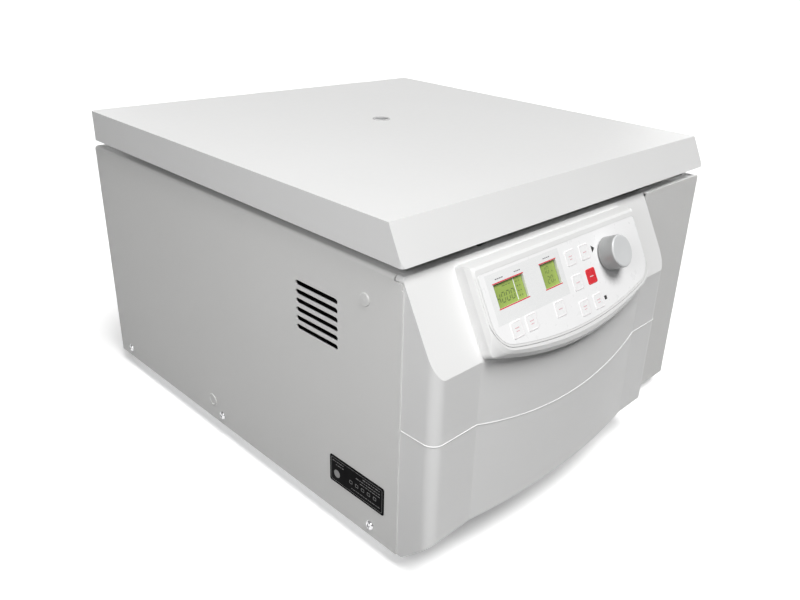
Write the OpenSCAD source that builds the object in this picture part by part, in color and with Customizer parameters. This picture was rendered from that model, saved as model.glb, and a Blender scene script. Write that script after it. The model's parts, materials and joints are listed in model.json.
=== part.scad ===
// Benchtop laboratory centrifuge, modelled as its separate pieces.
// +Z up, the front faces -Y, the floor is z = 0 and the origin is the
// middle of the object's own footprint.

/* [Housing] */
// Width of the sheet-metal housing
body_w = 430; // [426:1:434]
// Height of the top deck's surround above the floor
body_top = 254.7; // [254:0.1:256]
// Sheet thickness of the steel panels
sheet = 1.2; // [1:0.1:1.3]
// Height of the rubber feet
foot_h = 15; // [14:0.5:16]
// Number of vent slots in the left panel
vent_n = 6; // [3:1:7]

/* [Lid] */
// Width of the lid
lid_w = 440; // [436:1:446]
// Depth of the lid
lid_d = 452.2; // [450:0.1:454]
// Height of the lid's rim
lid_h = 29.5; // [27:0.5:31]
// Set-back of the sloping front face at its top
lid_rake = 14.4; // [8:0.1:18]
// Wall of the lid shell
lid_wall = 3; // [2.4:0.1:3.4]

/* [Front fascia] */
// How far the fascia stands in front of the housing
fascia_out = 34; // [32:0.5:36]
// Radius of the fascia's upright corners
fascia_r = 10; // [8:0.5:12]
// How far the convex middle of the fascia swells
bulge = 10; // [8:0.5:11]
// Angle of the sloping top face from vertical
tilt = 28; // [27:0.5:29]
// Wall of the plastic fascia
fascia_wall = 3; // [2.5:0.1:3.4]

/* [Controls] */
// Radius of the speed knob
knob_r = 14.8; // [13:0.1:15.5]
// Length of the speed knob
knob_l = 15; // [12:0.5:17]
// Side of a membrane key
key_s = 11.5; // [10:0.1:12]

/* [Rotor and chamber] */
// Inner radius of the steel bowl
bowl_r = 160; // [158:0.5:161]
// Outer radius of the angle rotor
rotor_r = 138; // [130:1:140]
// Number of tube holes in the rotor
tube_n = 6; // [4:1:8]
// Radius of each tube hole
tube_r = 17; // [12:0.5:17]
// Angle of the tube holes from vertical
tube_a = 30; // [25:1:30]

/* [Hidden] */

hw = body_w / 2;
hwr = hw + 3;            // the right panel stands a little further out
yf = -205;               // plane of the housing's front
yr = 256;                // plane of the housing's rear
ztop = body_top;
deck_z = ztop - 1.3;     // upper face of the deck
ax_y = 51.7;             // spin axis
// fascia
fx0 = -214; fx1 = 109; fxc = (fx0 + fx1) / 2;
F = yf - fascia_out;
bhw = 114.5;             // half width of the swelling
brad = (bhw * bhw + bulge * bulge) / (2 * bulge);
zs = 251;                // height at which the sloping face meets the housing front
// lid
lz0 = 264.1; lz1 = lz0 + lid_h; ly0 = -209; ly1 = ly0 + lid_d; lhw = lid_w / 2;
// hinge
hy = 247; hz = 259.5; hx = 140;
// latch
tx = 120; ty = -185; py = -170; pz = 224;
// control positions on the sloping face: across, and down from its top edge
key_rows = [25, 45.8, 67.4]; key_cols = [-51, -30.7];
knob_p = [0.5, -34.3];
pt = 15;                 // height of the control face above the sloping face
ov_t = 0.5;              // overlay thickness
white = [0.93, 0.93, 0.925]; grey = [0.80, 0.80, 0.79]; panelgrey = [0.78, 0.785, 0.77]; steel = [0.72, 0.73, 0.74];

// ---------- helpers ----------
module on_slope() { translate([0, yf, zs]) rotate([90 - tilt, 0, 0]) children(); }
module along_y(y0, y1) { translate([0, y1, 0]) rotate([90, 0, 0]) linear_extrude(height = y1 - y0) children(); }
module along_x(x0, x1) { translate([x0, 0, 0]) rotate([90, 0, 90]) linear_extrude(height = x1 - x0) children(); }
module box(a, b) { translate(a) cube([b[0] - a[0], b[1] - a[1], b[2] - a[2]]); }
module xcyl(x0, x1, y, z, r) { translate([x0, y, z]) rotate([0, 90, 0]) cylinder(r = r, h = x1 - x0, $fn = 64); }
module ycyl(y0, y1, x, z, r) { translate([x, y1, z]) rotate([90, 0, 0]) cylinder(r = r, h = y1 - y0, $fn = 64); }
// slot with round ends that runs along Y through the sheet in X
module slot_y(y0, y1, z, h, x0, x1) {
  box([x0, y0 + h / 2, z - h / 2], [x1, y1 - h / 2, z + h / 2]);
  xcyl(x0, x1, y0 + h / 2, z, h / 2);
  xcyl(x0, x1, y1 - h / 2, z, h / 2);
}
module slot_x(x0, x1, z, h, y0, y1) {
  box([x0 + h / 2, y0, z - h / 2], [x1 - h / 2, y1, z + h / 2]);
  ycyl(y0, y1, x0 + h / 2, z, h / 2);
  ycyl(y0, y1, x1 - h / 2, z, h / 2);
}

// ---------- fascia volume, drawn in by o on every side ----------
module fascia_vol(o, yb) {
  r = fascia_r - o;
  box([fx0 + o, F + fascia_r, 0], [fx1 - o, yb, 300]);
  box([fx0 + fascia_r, F + o, 0], [fx1 - fascia_r, yb, 300]);
  translate([fx0 + fascia_r, F + fascia_r, 0]) cylinder(r = r, h = 300, $fn = 64);
  translate([fx1 - fascia_r, F + fascia_r, 0]) cylinder(r = r, h = 300, $fn = 64);
  intersection() {
    translate([fxc, F - bulge + brad, 0]) cylinder(r = brad - o, h = 300, $fn = 360);
    box([fxc - bhw - 2, F - bulge - 1, 0], [fxc + bhw + 2, F + o + 1, 300]);
  }
}
module behind_slope(o) { on_slope() translate([-400, -400, -600 - o]) cube([800, 800, 600]); }
function parting(x) = let (t = min(1, abs(x - fxc) / bhw)) 133.5 - 13.5 * (1 - t * t);
part_x = [for (i = [0 : 48]) -222 + i * 7];
module below_parting(d) { along_y(F - 40, yf + 10) polygon(concat([[-222, 0]], [for (x = part_x) [x, parting(x) + d]], [[114, 0]])); }
module above_parting(d) { along_y(F - 40, yf + 10) polygon(concat([[-222, 300]], [for (x = part_x) [x, parting(x) + d]], [[114, 300]])); }
module kick(o) { // space kept free under the raised front edge, for o = 0
  along_x(-260, 160) polygon([[yf + 2, 15 + o], [-210 + 0.7 * o, 15 + o], [F + 0.7 * o, 42.8 + o], [-320, 42.8 + o], [-320, 320], [yf + 2, 320]]);
}

// ---------- housing ----------
module base_pan() {
  color(steel) difference() {
    union() {
      box([-hw + sheet + 0.2, yf + 2.6, 15], [hwr - sheet - 0.2, yr - sheet - 0.2, 15 + sheet]);
      for (s = [-1, 1]) box([s > 0 ? hwr - 2 * sheet - 0.2 : -hw + sheet + 0.2, yf + 2.6, 15], [s > 0 ? hwr - sheet - 0.2 : -hw + 2 * sheet + 0.2, yr - sheet - 0.2, 30]);
      box([-hw + sheet + 0.2, yr - 2 * sheet - 0.2, 15], [hwr - sheet - 0.2, yr - sheet - 0.2, 30]);
      // pressed stiffening beads
      for (x = [-90, 90]) box([x - 6, -150, 15 + sheet], [x + 6, -60, 17.8]);
    }
    for (y = [-174.7, 43.3, 231.3]) xcyl(-hw - 5, hwr + 5, y, 26, 2);
    for (x = [-150, 150]) ycyl(yr - 6, yr + 1, x, 26, 2);
    // motor cooling intake
    for (i = [-4 : 4]) box([i * 13 - 3, ax_y - 45, 10], [i * 13 + 3, ax_y + 45, 20]);
  }
}

module side_sheet(s) { // s = -1 left, +1 right
  h = s > 0 ? hwr : hw;
  y0 = s > 0 ? yf - 2 : yf;
  module sh() {
    // upright wall, bend and top flange
    box([h - sheet, y0, 15], [h, yr, ztop - 3]);
    box([h - 12, y0, ztop - sheet], [h - 3, yr, ztop]);
    intersection() {
      translate([h - 3, y0, ztop - 3]) rotate([-90, 0, 0]) difference() {
        cylinder(r = 3, h = yr - y0, $fn = 64);
        translate([0, 0, -1]) cylinder(r = 3 - sheet, h = yr - y0 + 2, $fn = 64);
      }
      box([h - 3, y0, ztop - 3], [h, yr, ztop]);
    }
  }
  if (s > 0) sh(); else mirror([1, 0, 0]) sh();
}

module left_side_panel() {
  color(panelgrey) difference() {
    side_sheet(-1);
    for (i = [0 : vent_n - 1]) slot_y(-135.5, -84, 213.2 - i * 7.78, 4.6, -hw - 2, -hw + 5);
    box([-hw - 1, yf - 1, 245.7], [-200, yf + 1.3, ztop + 1]);
    box([-hw - 1, yf - 1, ztop - 3.9], [-200, yf + 9, ztop + 1]);
    xcyl(-hw - 2, -hw + 5, -166.5, 226.5, 4.65);
    xcyl(-hw - 2, -hw + 5, 60.3, 36.4, 6);
    for (y = [-174.7, 43.3, 231.3]) xcyl(-hw - 2, -hw + 5, y, 26, 2);
  }
}

module right_side_panel() {
  color(panelgrey) difference() {
    union() {
      side_sheet(1);
      box([109.4, yf - 2, 15], [hwr - 0.6, yf - 2 + sheet, ztop]);
      box([109.4, yf - 2, 15], [109.4 + sheet, yf + sheet, ztop - 3.6]);
      box([104, yf, 15], [109.4 + sheet, yf + sheet, 245.8]);
      box([109.4, yf - 2, ztop - sheet], [hwr - 3, yf + 9, ztop]);
    }
    for (i = [0 : vent_n - 1]) slot_y(120, 171.5, 213.2 - i * 7.78, 4.6, hwr - 5, hwr + 2);
    for (y = [-174.7, 43.3, 231.3]) xcyl(hwr - 5, hwr + 2, y, 26, 2);
  }
}

module rear_panel() {
  color(panelgrey) difference() {
    box([-hw + sheet + 0.2, yr - sheet, 16.4], [hwr - sheet - 0.2, yr, ztop - 3.2]);
    // fan grille: rows of slots inside a circle
    for (i = [-4 : 4]) let (z = i * 9, w = sqrt(43 * 43 - z * z))
      slot_x(110 - w, 110 + w, 95 + z, 5, yr - 5, yr + 2);
    // exhaust slots
    for (i = [0 : 5]) slot_x(-40, 30, 190 + i * 8, 4.5, yr - 5, yr + 2);
    box([-154, yr - 5, 47], [-88, yr + 2, 69]);
    for (x = [-160, -82]) ycyl(yr - 5, yr + 2, x, 58, 1.7);
    for (x = [-150, 150]) ycyl(yr - 5, yr + 2, x, 26, 2);
    for (x = [-180, 180]) ycyl(yr - 5, yr + 2, x, 244, 2);
  }
}

module front_bulkhead() {
  color(steel) difference() {
    union() {
      box([-hw + sheet + 0.2, yf + 1.3, 16.4], [hwr - sheet - 0.2, yf + 2.5, 249.8]);
      box([-hw + sheet + 4, yf + 1.3, 248.6], [hwr - sheet - 4, yf + 12, 249.8]);
    }
    ycyl(yf - 1, yf + 4, -60, 190, 14);
    for (x = [-150, -60, 30]) ycyl(yf - 1, yf + 4, x, 60, 8);
  }
}

module top_deck() {
  color(grey) difference() {
    union() {
      box([-hw + sheet + 1.9, yf + 9.1, deck_z - 3.1], [hwr - sheet - 1.9, yr - sheet - 0.2, deck_z]);
      // raised collar that carries the bowl flange
      translate([0, ax_y, deck_z - 14]) cylinder(r = bowl_r + 10, h = 14, $fn = 180);
    }
    translate([0, ax_y, deck_z - 20]) cylinder(r = bowl_r + 3, h = 30, $fn = 180);
    for (x = [-tx, tx]) box([x - 5, ty - 12, deck_z - 10], [x + 5, ty + 14, deck_z + 1]);
  }
}

module fascia_upper() {
  color(white) difference() {
    union() {
      difference() {
        intersection() { fascia_vol(0, yf); above_parting(0.15); behind_slope(0); box([-230, -300, 50], [130, yf, ztop]); }
        intersection() { fascia_vol(fascia_wall, yf + 1); behind_slope(fascia_wall); }
      }
      intersection() {
        union() {
          box([fx0 + 3, yf - 3, 246], [fx1 - 0.4, yf + 1, ztop]);
          box([fx0, yf - 3, 246], [fx0 + 4, yf + 1, ztop - 3]);
          box([fx0 + 3, yf - 3, ztop - 3.2], [fx1 - 0.4, yf + 8.7, ztop]);
          box([fx0, yf - 3, ztop - 3.6], [fx0 + 4, yf + 8.7, ztop - 3]);
          intersection() {
            ycyl(yf - 3, yf + 8.7, fx0 + 3, ztop - 3, 3);
            box([fx0 - 1, yf - 4, ztop - 3.3], [fx0 + 3.3, yf + 9, ztop + 1]);
          }
        }
        behind_slope(0);
      }
    }
    // cable opening under the control bezel
    on_slope() translate([-120, -60, -10]) cube([140, 44, 14]);
  }
}

module fascia_lower() {
  color(white) union() {
    difference() {
      intersection() { fascia_vol(0, yf); below_parting(-0.15); kick(0); }
      intersection() { fascia_vol(fascia_wall, yf + 1); kick(fascia_wall); }
    }
    // tongue that reaches up behind the upper part
    intersection() {
      difference() { fascia_vol(fascia_wall - 0.2, yf - 1); fascia_vol(4.8, yf + 1); }
      below_parting(-0.15); above_parting(-9);
    }
    intersection() {
      difference() { fascia_vol(fascia_wall + 0.25, yf - 1); fascia_vol(4.8, yf + 1); }
      below_parting(5); above_parting(-9);
    }
  }
}

// ---------- control pod ----------
// outline of the pod: half width a, top st, bottom sb at the middle, curvature k, corner radius r
function pod_s(d, a, sb, k, r) = let (e = max(0, abs(d) - (a - r))) sb - k * d * d - (r - sqrt(max(0, r * r - e * e)));
function pod_pts(a, st, sb, k, r, n, rt = 2) = concat(
  [for (i = [0 : 5]) let (q = i * 18) [fxc + a - rt + rt * sin(q), -st - rt + rt * cos(q)]],
  [for (i = [0 : n]) let (u = i * 180 / n, d = a * cos(u)) [fxc + d, -pod_s(d, a, sb, k, r)]],
  [for (i = [0 : 5]) let (q = i * 18) [fxc - a + rt - rt * cos(q), -st - rt + rt * sin(q)]]);
ov_a = 107.8;
module overlay_shape(g) { polygon(pod_pts(ov_a + g, 11.4 - g, 78.3 + g, 0.00125, 16 + g, 40, 3)); }
module windows(g) {
  translate([-148 - g, -40 - g]) square([35.7 + 2 * g, 18.6 + 2 * g]);
  translate([-91.7 - g, -40.9 - g]) square([21.8 + 2 * g, 20.2 + 2 * g]);
}
module key_places() {
  translate([-136.6, -58.6]) children();
  translate([-118.7, -58.6]) children();
  translate([-82, -59]) children();
  for (x = key_cols, s = key_rows) translate([x, -s]) children();
}
module control_bezel() {
  color(white) difference() {
    on_slope() difference() {
      union() {
        translate([0, 0, -30]) linear_extrude(height = 39) polygon(pod_pts(112.3, 0.5, 90.5, 0.00156, 3, 40));
        hull() {
          translate([0, 0, 8.8]) linear_extrude(height = 0.2) polygon(pod_pts(112.3, 0.5, 90.5, 0.00156, 3, 40));
          translate([0, 0, 13.2]) linear_extrude(height = 0.1) polygon(pod_pts(110.9, 2.6, 87.4, 0.0015, 14, 40));
          translate([0, 0, pt]) linear_extrude(height = 0.1) polygon(pod_pts(109.2, 7.4, 83.6, 0.00135, 17, 40));
        }
      }
      // inside
      translate([0, 0, -40]) linear_extrude(height = 40 + pt - 2.5) polygon(pod_pts(105.5, 10, 76.8, 0.0012, 12, 24));
      // recess for the overlay, and a fine groove round it
      translate([0, 0, pt - 0.3]) linear_extrude(height = 1) overlay_shape(0.35);
      translate([0, 0, pt - 1.2]) difference() {
        linear_extrude(height = 3) intersection() { overlay_shape(2.5); translate([-300, -200]) square([600, 187]); }
        translate([0, 0, -1]) linear_extrude(height = 5) overlay_shape(2.0);
      }
      // windows, keys and encoder
      translate([0, 0, 5]) linear_extrude(height = 20) windows(0.2);
      key_places() translate([-key_s / 2 - 0.3, -key_s / 2 - 0.3, 5]) cube([key_s + 0.6, key_s + 0.6, 20]);
      translate([knob_p[0], knob_p[1], 5]) cylinder(r = 4.5, h = 20, $fn = 48);
    }
    intersection() { fascia_vol(0, yf + 1); behind_slope(0); }
    box([-300, -400, zs + 2.2], [200, 0, 400]);
    box([-300, yf, 0], [200, 100, 400]);
  }
}
module membrane_overlay() {
  color([0.97, 0.97, 0.97]) on_slope() difference() {
    translate([0, 0, pt - 0.3]) linear_extrude(height = ov_t) overlay_shape(0);
    translate([0, 0, 5]) linear_extrude(height = 20) windows(-0.3);
    key_places() translate([-key_s / 2 - 0.3, -key_s / 2 - 0.3, 5]) cube([key_s + 0.6, key_s + 0.6, 20]);
    translate([knob_p[0], knob_p[1], 5]) cylinder(r = 4.5, h = 20, $fn = 48);
  }
}
module display_window_left() {
  color([0.62, 0.70, 0.38]) on_slope() translate([-148, -40, 8]) cube([35.7, 18.6, pt - 0.3 - 8]);
}
module display_window_right() {
  color([0.62, 0.70, 0.38]) on_slope() translate([-91.7, -40.9, 8]) cube([21.8, 20.2, pt - 0.3 - 8]);
}
module control_board() {
  color([0.1, 0.35, 0.2]) on_slope() {
    difference() {
      union() {
        translate([-150, -62, 3]) cube([192, 49, 1.6]);
        translate([-105, -72.8, 3]) cube([105, 20, 1.6]);
      }
      for (x = [-146, 38], s = [17, 57]) translate([x, -s, 0]) cylinder(r = 1.6, h = 8, $fn = 32);
    }
    // display carriers, key switches and a connector
    translate([-149, -41, 4.6]) cube([37.7, 20.6, 3.2]);
    translate([-92.7, -41.9, 4.6]) cube([23.8, 22.2, 3.2]);
    key_places() translate([-3, -3, 4.6]) cube([6, 6, 4.6]);
    translate([-20, -62, 0]) cube([24, 6, 3]);
  }
}
module knob_encoder() {
  color(steel) on_slope() translate([knob_p[0], knob_p[1], 4.7]) {
    translate([-6, -6, 0]) cube([12, 12, 6]);
    cylinder(r = 4, h = 9, $fn = 48);
    cylinder(r = 3, h = 20, $fn = 48);
  }
}
module speed_knob() {
  color([0.72, 0.73, 0.73]) on_slope() translate([knob_p[0], knob_p[1], pt + 0.8]) difference() {
    rotate_extrude($fn = 96) polygon([[0, 0.2], [knob_r - 0.6, 0.2], [knob_r, 0.8], [knob_r - 0.5, knob_l - 1.2], [knob_r - 0.85, knob_l - 0.5], [knob_r - 1.6, knob_l], [knob_r - 3, knob_l + 0.05], [0, knob_l - 0.35]]);
    translate([0, 0, -1]) cylinder(r = 3.05, h = 11, $fn = 48);
    translate([0, 0, -1]) difference() { cylinder(r = knob_r - 2.4, h = 5, $fn = 64); translate([0, 0, -1]) cylinder(r = 6, h = 8, $fn = 48); }
  }
}
module key_cap(x, s, c) {
  color(c) on_slope() translate([x, -s, 0]) {
    translate([-key_s / 2, -key_s / 2, 10]) cube([key_s, key_s, pt + 0.6 - 10]);
    translate([-key_s / 2 - 0.9, -key_s / 2 - 0.9, 10.4]) cube([key_s + 1.8, key_s + 1.8, 1.6]);
  }
}
module key_program() key_cap(-136.6, 58.6, white);
module key_recall() key_cap(-118.7, 58.6, white);
module key_time() key_cap(-82, 59, white);
module key_temperature() key_cap(key_cols[0], key_rows[2], white);
module key_radius() key_cap(key_cols[0], key_rows[1], white);
module key_brake() key_cap(key_cols[0], key_rows[0], white);
module key_short_spin() key_cap(key_cols[1], key_rows[2], white);
module key_start() key_cap(key_cols[1], key_rows[0], white);
module key_stop() key_cap(key_cols[1], key_rows[1], [0.85, 0.2, 0.22]);

// ---------- small parts on the outside ----------
module rating_plate() {
  color([0.1, 0.1, 0.1]) union() {
    box([-hw - 0.5, -188.5, 44.7], [-hw, -126.5, 71]);
    box([-hw - 0.5, -190.5, 46.7], [-hw, -124.5, 69]);
    for (y = [-188.5, -126.5], z = [46.7, 69]) xcyl(-hw - 0.5, -hw, y, z, 2);
  }
}
module release_plug() {
  color(grey) translate([-hw, -166.5, 226.5]) rotate([0, -90, 0]) {
    rotate_extrude($fn = 64) polygon([[0, -9], [3.6, -9], [4.6, -8], [4.6, 0], [5.3, 0], [5.3, 0.6], [4.7, 1.1], [0, 1.3]]);
  }
}
module knockout_plug() {
  color(panelgrey) translate([-hw, 60.3, 36.4]) rotate([0, -90, 0])
    rotate_extrude($fn = 64) polygon([[0, -2.4], [5, -2.4], [5.9, -1.8], [5.9, 0], [6.6, 0], [6.5, 0.45], [5, 0.6], [4.4, 0.2], [0, 0.2]]);
}
// pan-head screw: the head stands on z = 0 and the shank runs down
module pan_screw(l) {
  difference() {
    rotate_extrude($fn = 48) polygon([[0, -l], [1.6, -l], [1.95, -l + 0.6], [1.95, 0], [4.1, 0], [4.1, 0.9], [3.7, 1.7], [2.8, 2.2], [1.5, 2.45], [0, 2.5]]);
    for (q = [0, 90]) rotate([0, 0, q + 20]) translate([-2.2, -0.45, 1.2]) cube([4.4, 0.9, 2]);
  }
}
module side_screws_left() { color(steel) for (y = [-174.7, 43.3, 231.3]) translate([-hw, y, 26]) rotate([0, -90, 0]) pan_screw(8); }
module side_screws_right() { color(steel) for (y = [-174.7, 43.3, 231.3]) translate([hwr, y, 26]) rotate([0, 90, 0]) pan_screw(8); }
module rear_screws() {
  color(steel) for (p = [[-150, 26], [150, 26], [-180, 244], [180, 244]]) translate([p[0], yr, p[1]]) rotate([-90, 0, 0]) pan_screw(6);
}
module feet() {
  color([0.15, 0.15, 0.15]) for (x = [-180, 180], y = [-186, 232]) translate([x, y, 0]) difference() {
    rotate_extrude($fn = 64) polygon([[0, 1], [9, 1], [10, 0], [13, 0], [14, 1], [13.2, foot_h - 1], [12.6, foot_h], [0, foot_h]]);
    translate([0, 0, -1]) cylinder(r = 5, h = 7, $fn = 48);
  }
}

// ---------- lid ----------
module lid_vol(o) {
  c = 3.7; r = c - o;
  intersection() {
    union() {
      box([-lhw + o, ly0 + c, lz0 - 20], [lhw - o, ly1 - c, lz1 - o]);
      box([-lhw + c, ly0 + o, lz0 - 20], [lhw - c, ly1 - o, lz1 - o]);
      for (x = [-lhw + c, lhw - c], y = [ly0 + c, ly1 - c]) translate([x, y, lz0 - 20]) cylinder(r = r, h = lz1 - o - lz0 + 20, $fn = 64);
    }
    // sloping front face
    along_x(-lhw - 5, lhw + 5) polygon([[ly0 + o * 1.11, lz0 - 30], [ly0 + o * 1.11, lz0], [ly0 + o * 1.11 + lid_rake * (lz1 + 10 - lz0) / lid_h, lz1 + 10], [ly1 + 10, lz1 + 10], [ly1 + 10, lz0 - 30]]);
  }
}
module lid_shell() {
  color(white) difference() {
    intersection() { lid_vol(0); box([-300, -300, lz0], [300, 300, lz1 + 1]); }
    intersection() { lid_vol(lid_wall); box([-300, -300, lz0 - 5], [300, 300, lz1 - lid_wall]); }
    translate([0, ax_y, lz1 - 10]) cylinder(r = 8, h = 20, $fn = 64);
  }
}
module lid_liner() {
  color([0.55, 0.56, 0.57]) difference() {
    union() {
      box([-lhw + lid_wall + 0.3, ly0 + 5.2, lz0 + 0.5], [lhw - lid_wall - 0.3, ly1 - lid_wall - 0.3, lz0 + 2]);
      box([-lhw + lid_wall + 0.3, ly0 + 5.2, lz0 + 0.5], [lhw - lid_wall - 0.3, ly0 + 6.7, lz0 + 3.4]);
    }
    translate([0, ax_y, lz0 - 5]) cylinder(r = 12, h = 20, $fn = 64);
  }
}
module lid_stiffeners() {
  color(steel) for (x = [-tx, 0, tx]) {
    difference() {
      box([x - 16, ly0 + 24, lz0 + 2], [x + 16, ly1 - 12, lz1 - lid_wall]);
      box([x - 14.6, ly0 + 20, lz0 + 3.4], [x + 14.6, ly1 - 5, lz1 - lid_wall - 1.4]);
      translate([0, ax_y, lz0 - 5]) cylinder(r = 12.5, h = 40, $fn = 64);
    }
  }
}
module sight_port_ring() {
  color([0.7, 0.7, 0.7]) translate([0, ax_y, 0]) rotate_extrude($fn = 72)
    polygon([[6.6, lz0 + 2.2], [7.9, lz0 + 2.2], [7.9, lz1], [9.2, lz1], [9.2, lz1 + 0.5], [8.5, lz1 + 1], [7.4, lz1 + 1], [6.6, lz1 + 0.4]]);
}
module sight_glass() {
  color([0.35, 0.37, 0.38]) translate([0, ax_y, 0]) rotate_extrude($fn = 72)
    polygon([[0, lz1 - 5], [6.5, lz1 - 5], [6.5, lz1 - 1.2], [5.8, lz1 - 0.6], [0, lz1 - 0.4]]);
}
module lid_strikers() {
  color(steel) for (x = [-tx, tx]) difference() {
    union() {
      box([x - 1.5, ty - 6, 238], [x + 1.5, ty + 6, lz0 + 0.5]);
      box([x - 10, ty - 10, lz0 - 1.3], [x + 10, ty + 10, lz0 + 0.5]);
    }
    box([x - 3, ty + 1, 242.2], [x + 3, ty + 8, 251.2]);
    xcyl(x - 3, x + 3, ty - 6, 238, 2);
  }
}
module lid_hinge_arms() {
  color(steel) for (x = [-hx, hx]) difference() {
    union() {
      box([x - 30, 214, lz0 - 1.8], [x + 30, 240, lz0 - 0.1]);
      box([x - 28, 216, lz0 - 0.2], [x + 28, 238, lz0 + 0.5]);
      box([x - 9.9, 238, lz0 - 1.8], [x + 9.9, hy, lz0 - 0.8]);
      xcyl(x - 9.9, x + 9.9, hy, hz, 3.8);
    }
    xcyl(x - 12, x + 12, hy, hz, 2.05);
  }
}
module hinge_brackets() {
  color(steel) for (x = [-hx, hx]) difference() {
    union() {
      box([x - 30, 226, deck_z], [x + 30, 242, deck_z + 1.6]);
      for (k = [[-30, -10.2], [10.2, 30]]) {
        box([x + k[0], 240, deck_z], [x + k[1], 250, deck_z + 2.9]);
        xcyl(x + k[0], x + k[1], hy, hz, 3.8);
      }
    }
    xcyl(x - 32, x + 32, hy, hz, 2.05);
  }
}
module hinge_pins() {
  color(steel) for (x = [-hx, hx]) { xcyl(x - 31, x + 31, hy, hz, 2); for (s = [-1, 1]) xcyl(x + s * 31 - 0.8, x + s * 31 + 0.8, hy, hz, 3); }
}
module latch_frames() {
  color(steel) for (x = [-tx, tx]) {
    difference() {
      union() {
        for (s = [-1, 1]) box([x + (s > 0 ? 4 : -6), -192, 206], [x + (s > 0 ? 6 : -4), -150, deck_z - 3.1]);
        box([x - 6, -192, 204], [x + 6, -150, 206.5]);
      }
      xcyl(x - 10, x + 10, py, pz, 2.05);
    }
    // lock motor beside the frame
    box([x + 6, -184, 208], [x + 26, -156, 236]);
    xcyl(x + 26, x + 44, -170, 222, 9);
  }
}
module latch_pins() { color(steel) for (x = [-tx, tx]) xcyl(x - 5.9, x + 5.9, py, pz, 2); }
module latch_hook(x) {
  color([0.75, 0.68, 0.45]) translate([x, py, pz]) rotate([-14, 0, 0]) difference() {
    union() {
      translate([-1.5, -3.5, -9]) cube([3, 7, 33]);
      translate([-1.5, -13, 20.4]) cube([3, 12, 2.6]);
      translate([-2.6, 0, 0]) rotate([0, 90, 0]) cylinder(r = 5, h = 5.2, $fn = 48);
    }
    translate([-5, 0, 0]) rotate([0, 90, 0]) cylinder(r = 2.05, h = 10, $fn = 48);
  }
}
module latch_hook_left() latch_hook(-tx);
module latch_hook_right() latch_hook(tx);

// ---------- chamber, rotor and drive ----------
bz = 104; bcr = 26;
function arc_pts(cx, cy, r, a0, a1, n) = [for (i = [0 : n]) let (a = a0 + (a1 - a0) * i / n) [cx + r * cos(a), cy + r * sin(a)]];
module bowl() {
  color([0.82, 0.82, 0.83]) translate([0, ax_y, 0]) rotate_extrude($fn = 180) polygon(concat(
    [[28, bz]], arc_pts(bowl_r + 1 - bcr - 1, bz + bcr + 1, bcr + 1, -90, 0, 12),
    [[bowl_r + 1, deck_z], [bowl_r + 15, deck_z], [bowl_r + 15, deck_z + 1], [bowl_r, deck_z + 1]],
    arc_pts(bowl_r - bcr, bz + 1 + bcr, bcr, 0, -90, 12), [[28, bz + 1]]));
}
module bowl_gasket() {
  color([0.12, 0.12, 0.12]) translate([0, ax_y, deck_z + 1]) rotate_extrude($fn = 180)
    polygon([[bowl_r + 2, 0], [bowl_r + 12, 0], [bowl_r + 12, 2.4], [bowl_r + 9.6, 2.8], [bowl_r + 8.6, 8.6], [bowl_r + 7, 8.6], [bowl_r + 6, 2.8], [bowl_r + 2, 2]]);
}
module rotor() {
  color([0.62, 0.63, 0.66]) difference() {
    translate([0, ax_y, 0]) rotate_extrude($fn = 180) polygon([[8, 128], [22, 122], [70, 122], [112, 130], [rotor_r - 6, 146], [rotor_r - 1, 156], [rotor_r, 164], [rotor_r - 5, 176],
      [98, 206], [92, 209], [60, 212], [54, 210], [46, 196], [24, 194], [8, 194]]);
    for (i = [0 : tube_n - 1]) translate([0, ax_y, 0]) rotate([0, 0, i * 360 / tube_n]) translate([78, 0, 212]) rotate([0, 180 - tube_a, 0]) {
      translate([0, 0, -30]) cylinder(r = tube_r, h = 30 + 66, $fn = 96);
      translate([0, 0, 66]) cylinder(r1 = tube_r, r2 = 6, h = 5, $fn = 96);
    }
  }
}
module rotor_nut() {
  color([0.2, 0.2, 0.22]) translate([0, ax_y, 0]) difference() {
    rotate_extrude($fn = 96) polygon([[0, 201], [8, 201], [8, 194], [22, 194], [22, 198], [18, 200], [17, 210], [15, 212], [0, 212.4]]);
    for (i = [0 : 5]) rotate([0, 0, i * 60]) translate([21.5, 0, 199]) cylinder(r = 5, h = 20, $fn = 32);
  }
}
module drive_shaft() {
  color([0.7, 0.7, 0.72]) translate([0, ax_y, 0]) rotate_extrude($fn = 96)
    polygon([[0, 26], [7, 26], [8, 27], [8, 200], [7, 201], [0, 201]]);
}
module motor_armature() {
  color([0.6, 0.4, 0.25]) translate([0, ax_y, 0]) rotate_extrude($fn = 96) polygon([[8, 44], [34, 44], [36, 46], [36, 78], [34, 80], [8, 80]]);
}
module motor_housing() {
  color([0.5, 0.51, 0.53]) translate([0, ax_y, 0]) difference() {
    translate([0, 0, 24]) cylinder(r = 60, h = 72, $fn = 96);
    translate([0, 0, 32]) cylinder(r = 44, h = 56, $fn = 96);
    translate([0, 0, 0]) cylinder(r = 14, h = 200, $fn = 96);
    for (i = [0 : 11]) rotate([0, 0, i * 30]) translate([52, -4, 34]) cube([12, 8, 50]);
  }
}
module motor_bearings() {
  color(steel) translate([0, ax_y, 0]) for (z = [24.5, 88]) translate([0, 0, z]) difference() {
    cylinder(r = 14, h = 7.5, $fn = 96);
    translate([0, 0, -1]) cylinder(r = 8.05, h = 10, $fn = 96);
  }
}
module motor_plate() {
  color(steel) difference() {
    box([-88, ax_y - 88, 96], [88, ax_y + 88, 100]);
    translate([0, ax_y, 90]) cylinder(r = 20, h = 20, $fn = 96);
    for (x = [-74, 74], y = [-74, 74]) translate([x, ax_y + y, 90]) cylinder(r = 4, h = 20, $fn = 48);
  }
}
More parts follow.
